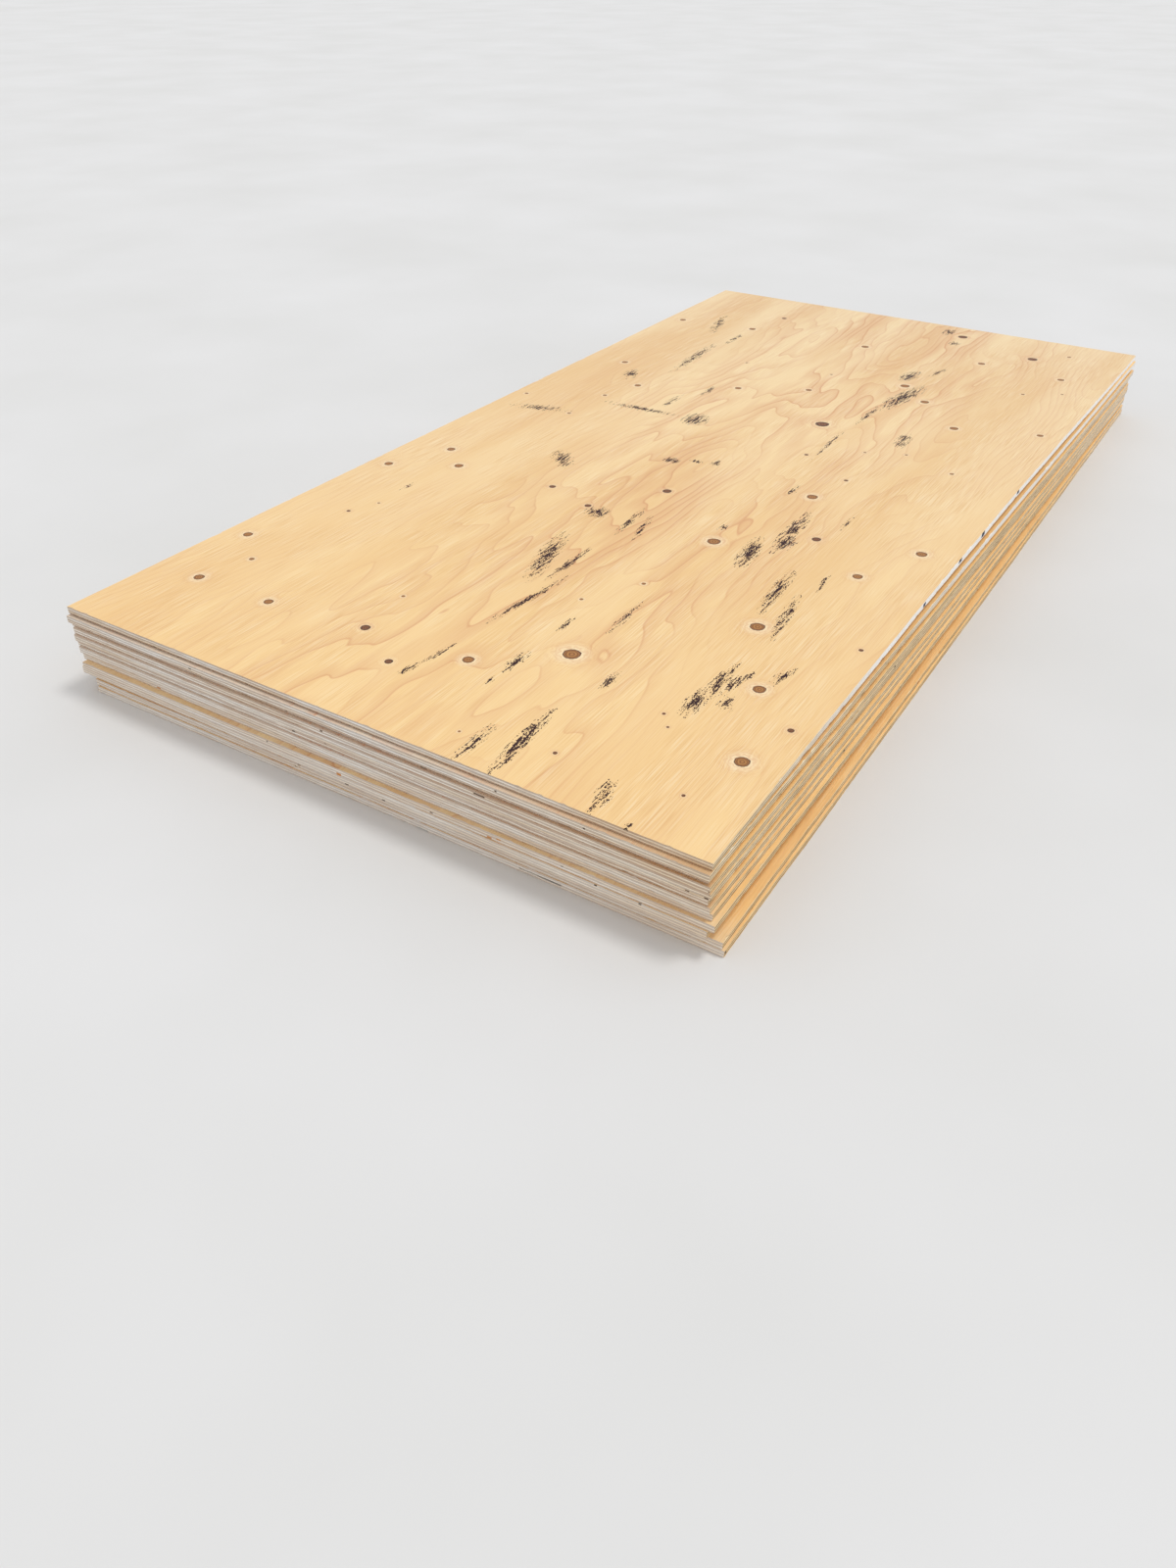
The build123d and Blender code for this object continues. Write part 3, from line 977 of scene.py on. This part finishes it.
def peeled_veneer():
    """The material of the faces."""
    material, wood, shader = new_material("peeled_softwood_veneer")
    spot, along, across, in_patch, reach, nearness = veneer_places(wood)
    figure = add(wood, "CombineXYZ", {0: along, 1: across})
    lines = stretched_noise(wood, figure, FINE_LINES)
    flames = flame_lines(wood, along, across, nearness)
    knotty = with_knots(wood, plain_wood(wood, figure, lines, flames), in_patch, reach)
    stained, stain_share = with_stains(wood, knotty, spot)
    wood.links.new(stained, shader.inputs["Base Color"])
    rough = add(wood, "MapRange", {"Value": lines, "To Min": VENEER_ROUGH[0],
                                   "To Max": VENEER_ROUGH[1]})
    wood.links.new(rough, shader.inputs["Roughness"])
    shader.inputs["IOR"].default_value = WOOD_IOR
    sheen = add(wood, "MapRange", {"Value": stain_share, "To Min": WOOD_SHEEN, "To Max": STAIN_SHEEN})
    wood.links.new(sheen, shader.inputs["Specular IOR Level"])
    relief = add(wood, "Bump", {"Strength": 0.3, "Distance": GRAIN_RELIEF, "Height": lines})
    wood.links.new(relief, shader.inputs["Normal"])
    return material


VENEER = peeled_veneer()
print("the veneer has", len(VENEER.node_tree.nodes), "nodes")

# %% [markdown]
# ## Sawn plywood edges
# On an edge, the plies whose grain runs along it show pale side grain, and the ones between show darker
# end grain. The face veneers run along the sheet, so a long side has three pale plies and a short end
# has two. A line of glue parts them. The plies wander, because the veneers were pressed at slightly
# uneven thickness. The ply is counted from the height in the sheet, with a little noise added to it,
# and each ply of each sheet has a tone of its own.

# %% Count the plies of an edge
# How many waves the plies have to the metre, along the edge and up it, and how many plies high they are
PLY_WAVES = (14, 170)
WAVE_REACH = 0.36


def ply_count(edge, spot):
    """Which ply a spot is in, how far up in it, and a random tone that the ply has to itself."""
    along, up, _ = add(edge, "SeparateXYZ", {0: spot}).node.outputs
    waves = stretched_noise(edge, spot, PLY_WAVES)
    wobble = add(edge, "MapRange", {"Value": waves, "To Min": -WAVE_REACH, "To Max": WAVE_REACH})
    ply = add(edge, "Math", {0: up, 1: 1 / PLY, 2: wobble}, operation="MULTIPLY_ADD")
    index = add(edge, "Math", {0: ply}, operation="FLOOR")
    within = add(edge, "Math", {0: ply}, operation="FRACT")
    steps = add(edge, "Math", {0: along, 1: float(GRAIN_STEP)}, operation="DIVIDE")
    sheet = add(edge, "Math", {0: steps}, operation="FLOOR")
    key = add(edge, "CombineXYZ", {0: sheet, 1: index})
    own_tone = add(edge, "TexWhiteNoise", {"Vector": key}, noise_dimensions="2D")
    return index, within, own_tone


print("a ply is", round(PLY / MM, 1), "mm thick")

# %% [markdown]
# ## Wood of the edges
# Side grain shows fine streaks along the edge, and end grain is darker and pitted. Both get whiter or
# more amber as the data of the corners says.

# %% Colour the wood of an edge
# How many to the metre, along the edge and up it. The pits of end grain are torn bundles of fibres,
# drawn about 4 mm long and 0.8 mm high so that they show.
DRIFT = (6, 90)
STREAKS = (32, 1500)
PITS = (260, 1300)
# How much of the way from its light tone to its deep one a ply has of its own, and how much it drifts
OWN_TONE, DRIFT_TONE = 0.55, 0.5


def edge_wood(edge, spot, own_tone, side_grain, end_grain):
    """The colours of the two kinds of ply at a spot, and the pits of the end grain."""
    drift = stretched_noise(edge, spot, DRIFT)
    drift_share = add(edge, "MapRange", {"Value": drift, "From Min": 0.36, "From Max": 0.66,
                                         "To Max": DRIFT_TONE})
    tone_share = add(edge, "Math", {0: own_tone, 1: OWN_TONE, 2: drift_share}, operation="MULTIPLY_ADD")
    streaks = stretched_noise(edge, spot, STREAKS)
    streak_share = add(edge, "MapRange", {"Value": streaks, "From Min": 0.46, "From Max": 0.7,
                                          "To Max": 0.55})
    pits = stretched_noise(edge, spot, PITS)
    pit_share = add(edge, "MapRange", {"Value": pits, "From Min": 0.52, "From Max": 0.75,
                                       "To Max": 0.35})
    woods = []
    for (light, deep, mark), share in ((side_grain, streak_share), (end_grain, pit_share)):
        plain = add(edge, "Mix", {"Factor": tone_share, "A": colour(light), "B": colour(deep)},
                    data_type="RGBA")
        woods.append(add(edge, "Mix", {"Factor": share, "A": plain, "B": colour(mark)},
                         data_type="RGBA"))
    return woods, pits


# How white the edge is where its whitening, painted highlight included, is full, out of 1
WHITEST = 0.94
# The colours of a knot, of resin and of a smudge
MARK_COLOURS = ("#4a3426", "#d08a45", "#2b3145")


def aged_and_lit_edge(edge, plain):
    """An edge's wood made amber and whiter as its corners' data say. The whiter part on the long sides
    of the upper sheets is a painted highlight.
    """
    ageing_and_light = add(edge, "Attribute", give="Vector", attribute_name="ageing_and_light")
    amber, whitening, _ = add(edge, "SeparateXYZ", {0: ageing_and_light}).node.outputs
    warm = add(edge, "Mix", {"Factor": amber, "A": plain, "B": colour("#ffe3ae")}, data_type="RGBA",
               blend_type="MULTIPLY")
    # Mixed towards white: a painted highlight on the long sides of the upper sheets, and a plain whiter
    # tone on the near end
    white_share = add(edge, "Math", {0: whitening, 1: WHITEST}, operation="MULTIPLY")
    return add(edge, "Mix", {"Factor": white_share, "A": warm, "B": colour("#fbf7f1")}, data_type="RGBA")


def marked_edge(edge, plain):
    """An edge with its knots, resin and smudges."""
    marks = add(edge, "Attribute", give="Vector", attribute_name="edge_mark")
    shares = add(edge, "SeparateXYZ", {0: marks}).node.outputs
    for share, text in zip(shares, MARK_COLOURS):
        plain = add(edge, "Mix", {"Factor": share, "A": plain, "B": colour(text)}, data_type="RGBA")
    return plain


print("the streaks of side grain are about", round(1 / STREAKS[0] / MM), "mm long")

# %% [markdown]
# ## Put the edges together
# The two edges differ only in which plies are pale and in their colours. These colours are partly
# painted light: the near end's wood is painted whiter against the soft shade it lies in and cooler for
# the cool light there, and the long side's warmer for the warm sun on it. A sawn edge is rougher than
# a sanded face. The real glue line is a tenth of a millimetre thick. It is drawn about half a
# millimetre wide, so that it shows.

# %% Make the edges
# How much of a ply's thickness the glue line darkens on each side, and how much
GLUE_SHARE, GLUE_DARK = 0.12, 0.62
EDGE_ROUGH = (0.72, 0.9)
PIT_RELIEF = 0.25 * MM


def sawn_edge(name, cross_plies_pale, side_grain, end_grain):
    """The material of the long sides or of the short ends. Each kind of grain has a light tone, a deep
    tone and a colour for its streaks or pits."""
    material, edge, shader = new_material(name)
    spot = add(edge, "UVMap", uv_map="grain")
    index, within, own_tone = ply_count(edge, spot)
    (side_wood, end_wood), pits = edge_wood(edge, spot, own_tone, side_grain, end_grain)
    parity = add(edge, "Math", {0: index, 1: 1.0}, operation="PINGPONG")
    first, second = (end_wood, side_wood) if cross_plies_pale else (side_wood, end_wood)
    plies = add(edge, "Mix", {"Factor": parity, "A": first, "B": second}, data_type="RGBA")
    off_middle = add(edge, "Math", {0: within, 1: 0.5}, operation="SUBTRACT")
    to_middle = add(edge, "Math", {0: off_middle}, operation="ABSOLUTE")
    glue = add(edge, "MapRange", {"Value": to_middle, "From Min": 0.5 - GLUE_SHARE, "From Max": 0.5,
                                  "To Max": GLUE_DARK})
    glued = add(edge, "Mix", {"Factor": glue, "A": plies, "B": colour("#655548")}, data_type="RGBA")
    edge.links.new(marked_edge(edge, aged_and_lit_edge(edge, glued)), shader.inputs["Base Color"])
    rough = add(edge, "MapRange", {"Value": pits, "To Min": EDGE_ROUGH[0],
                                   "To Max": EDGE_ROUGH[1]})
    edge.links.new(rough, shader.inputs["Roughness"])
    shader.inputs["IOR"].default_value = WOOD_IOR
    relief = add(edge, "Bump", {"Strength": 0.4, "Distance": PIT_RELIEF, "Height": pits})
    edge.links.new(relief, shader.inputs["Normal"])
    return material


# Painted light: the long side's colours are partly warmed for the sun on it
SIDE_EDGE = sawn_edge("sawn_long_side", False, ("#fcedcf", "#f0d3a0", "#d3ad77"),
                      ("#c6b08e", "#9c8765", "#776348"))
# Painted light: the short end's colours are partly whitened and cooled for the cool shade it lies in
END_EDGE = sawn_edge("sawn_short_end", True, ("#fefaf4", "#ecd6b4", "#c8ab87"),
                     ("#d2c8bc", "#c2a081", "#80705f"))
print("edge materials:", SIDE_EDGE.name, END_EDGE.name)

# %% [markdown]
# ## Lay the stack
# Every sheet is built where its construction solid lies, which is then hidden, and is attached to the
# root body.

# %% Build all the sheets
for name in SHEETS:
    piece = build_sheet(name)
    for material in (VENEER, SIDE_EDGE, END_EDGE):
        piece.data.materials.append(material)
    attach(piece, "root")
    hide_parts(name)
    triangles = sum(len(p.vertices) - 2 for p in piece.data.polygons)
    print(piece.name, len(piece.data.vertices), "points,", triangles, "triangles")

# %% [markdown]
# ## Floor
# A plain pale floor under the stack. It is part of the stage and not of the object. A wide disc ends
# beyond the picture, and its colour alone makes it pale.

# %% Make the floor
FLOOR_RADIUS = 40
FLOOR_CORNERS = 96
FLOOR_ROUGH = 0.8


def make_floor():
    """The floor disc, with a faint cloudiness in its paint."""
    angles = [2 * math.pi * i / FLOOR_CORNERS for i in range(FLOOR_CORNERS)]
    ring = [(FLOOR_RADIUS * math.cos(angle), FLOOR_RADIUS * math.sin(angle), 0) for angle in angles]
    mesh = bpy.data.meshes.new("floor")
    mesh.from_pydata(ring, [], [tuple(range(FLOOR_CORNERS))])
    floor = bpy.data.objects.new("floor", mesh)
    bpy.context.scene.collection.objects.link(floor)
    material, tree, shader = new_material("pale_floor_paint")
    spot = add(tree, "TexCoord", give="Object")
    cloud = add(tree, "TexNoise", {"Vector": spot, "Scale": 1.5, "Detail": 3.0})
    share = add(tree, "MapRange", {"Value": cloud, "From Min": 0.3, "From Max": 0.7})
    paint = add(tree, "Mix", {"Factor": share, "A": colour("#dcdad6"), "B": colour("#e2e0dd")},
                data_type="RGBA")
    tree.links.new(paint, shader.inputs["Base Color"])
    shader.inputs["Roughness"].default_value = FLOOR_ROUGH
    mesh.materials.append(material)
    floor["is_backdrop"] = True


make_floor()
print("floor disc of", FLOOR_RADIUS, "m")

# %% [markdown]
# ## Light
# A plain soft studio light. In the picture the light comes from almost straight above, a little from
# the far end and from the near side, so the faces and the near side are lit and the near end lies in
# soft shade. A wide soft sun does that, and an even pale world fills the shade.

# %% Make the light
SUN_STRENGTH = 1.02
SUN_ANGLE = 14
SUN_FROM = Vector((0.2, -0.28, 1.0))
WORLD_STRENGTH = 0.81


def make_light():
    """The sun and the world."""
    sun = bpy.data.lights.new("soft_sun", "SUN")
    sun.energy = SUN_STRENGTH
    sun.angle = math.radians(SUN_ANGLE)
    lamp = bpy.data.objects.new("soft_sun", sun)
    lamp.rotation_euler = SUN_FROM.to_track_quat("Z", "Y").to_euler()
    bpy.context.scene.collection.objects.link(lamp)
    world = bpy.data.worlds.new("studio")
    bpy.context.scene.world = world
    world.use_nodes = True
    background = world.node_tree.nodes["Background"]
    background.inputs["Color"].default_value = colour("#f6f9fe")
    background.inputs["Strength"].default_value = WORLD_STRENGTH


make_light()
print("sun", SUN_STRENGTH, "and world", WORLD_STRENGTH)

# %% [markdown]
# ## Camera
# The picture was taken from about chest height, from off the near corner. The place, the aim and the
# focal length were worked out from the corners of the top sheet: its near corner, its sides' directions
# and their known lengths give all of them. Places are measured from the top sheet's near corner.

# %% Set the camera
CAMERA_FROM_CORNER = Vector((-0.9766, -0.4345, 0.9213))
CAMERA_AIM = Vector((0.67539, 0.42487, -0.60277))
CAMERA_ROLL = math.radians(0.24)
FOCAL_LENGTH = 26.5
SENSOR_WIDTH = 36
FARTHEST = 100


def make_camera():
    """The camera off the near corner."""
    near_corner = Vector(put_on_top_sheet(np.zeros(1), np.zeros(1), 0)[0])
    near_corner.z = len(SHEETS) * THICKNESS
    data = bpy.data.cameras.new("camera")
    data.lens = FOCAL_LENGTH
    data.sensor_width = SENSOR_WIDTH
    data.clip_end = FARTHEST
    camera = bpy.data.objects.new("camera", data)
    camera.location = near_corner + CAMERA_FROM_CORNER
    aim = CAMERA_AIM.to_track_quat("-Z", "Y")
    camera.rotation_euler = (aim.to_matrix() @ Matrix.Rotation(CAMERA_ROLL, 3, "Z")).to_euler()
    bpy.context.scene.collection.objects.link(camera)
    bpy.context.scene.camera = camera
    return camera


CAMERA = make_camera()
bpy.context.scene.view_settings.view_transform = "Standard"
print("camera at", [round(c, 3) for c in CAMERA.location])

# %% [markdown]
# ## Sizes
# The dressed stack is meant to be as large as its construction solids. The box round it is worked out
# and printed.

# %% Print the size of the dressed stack and finish
bpy.context.view_layer.update()
VISUAL_BOX = [list(corner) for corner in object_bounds()]
print("visual box", [[round(c, 4) for c in corner] for corner in VISUAL_BOX])
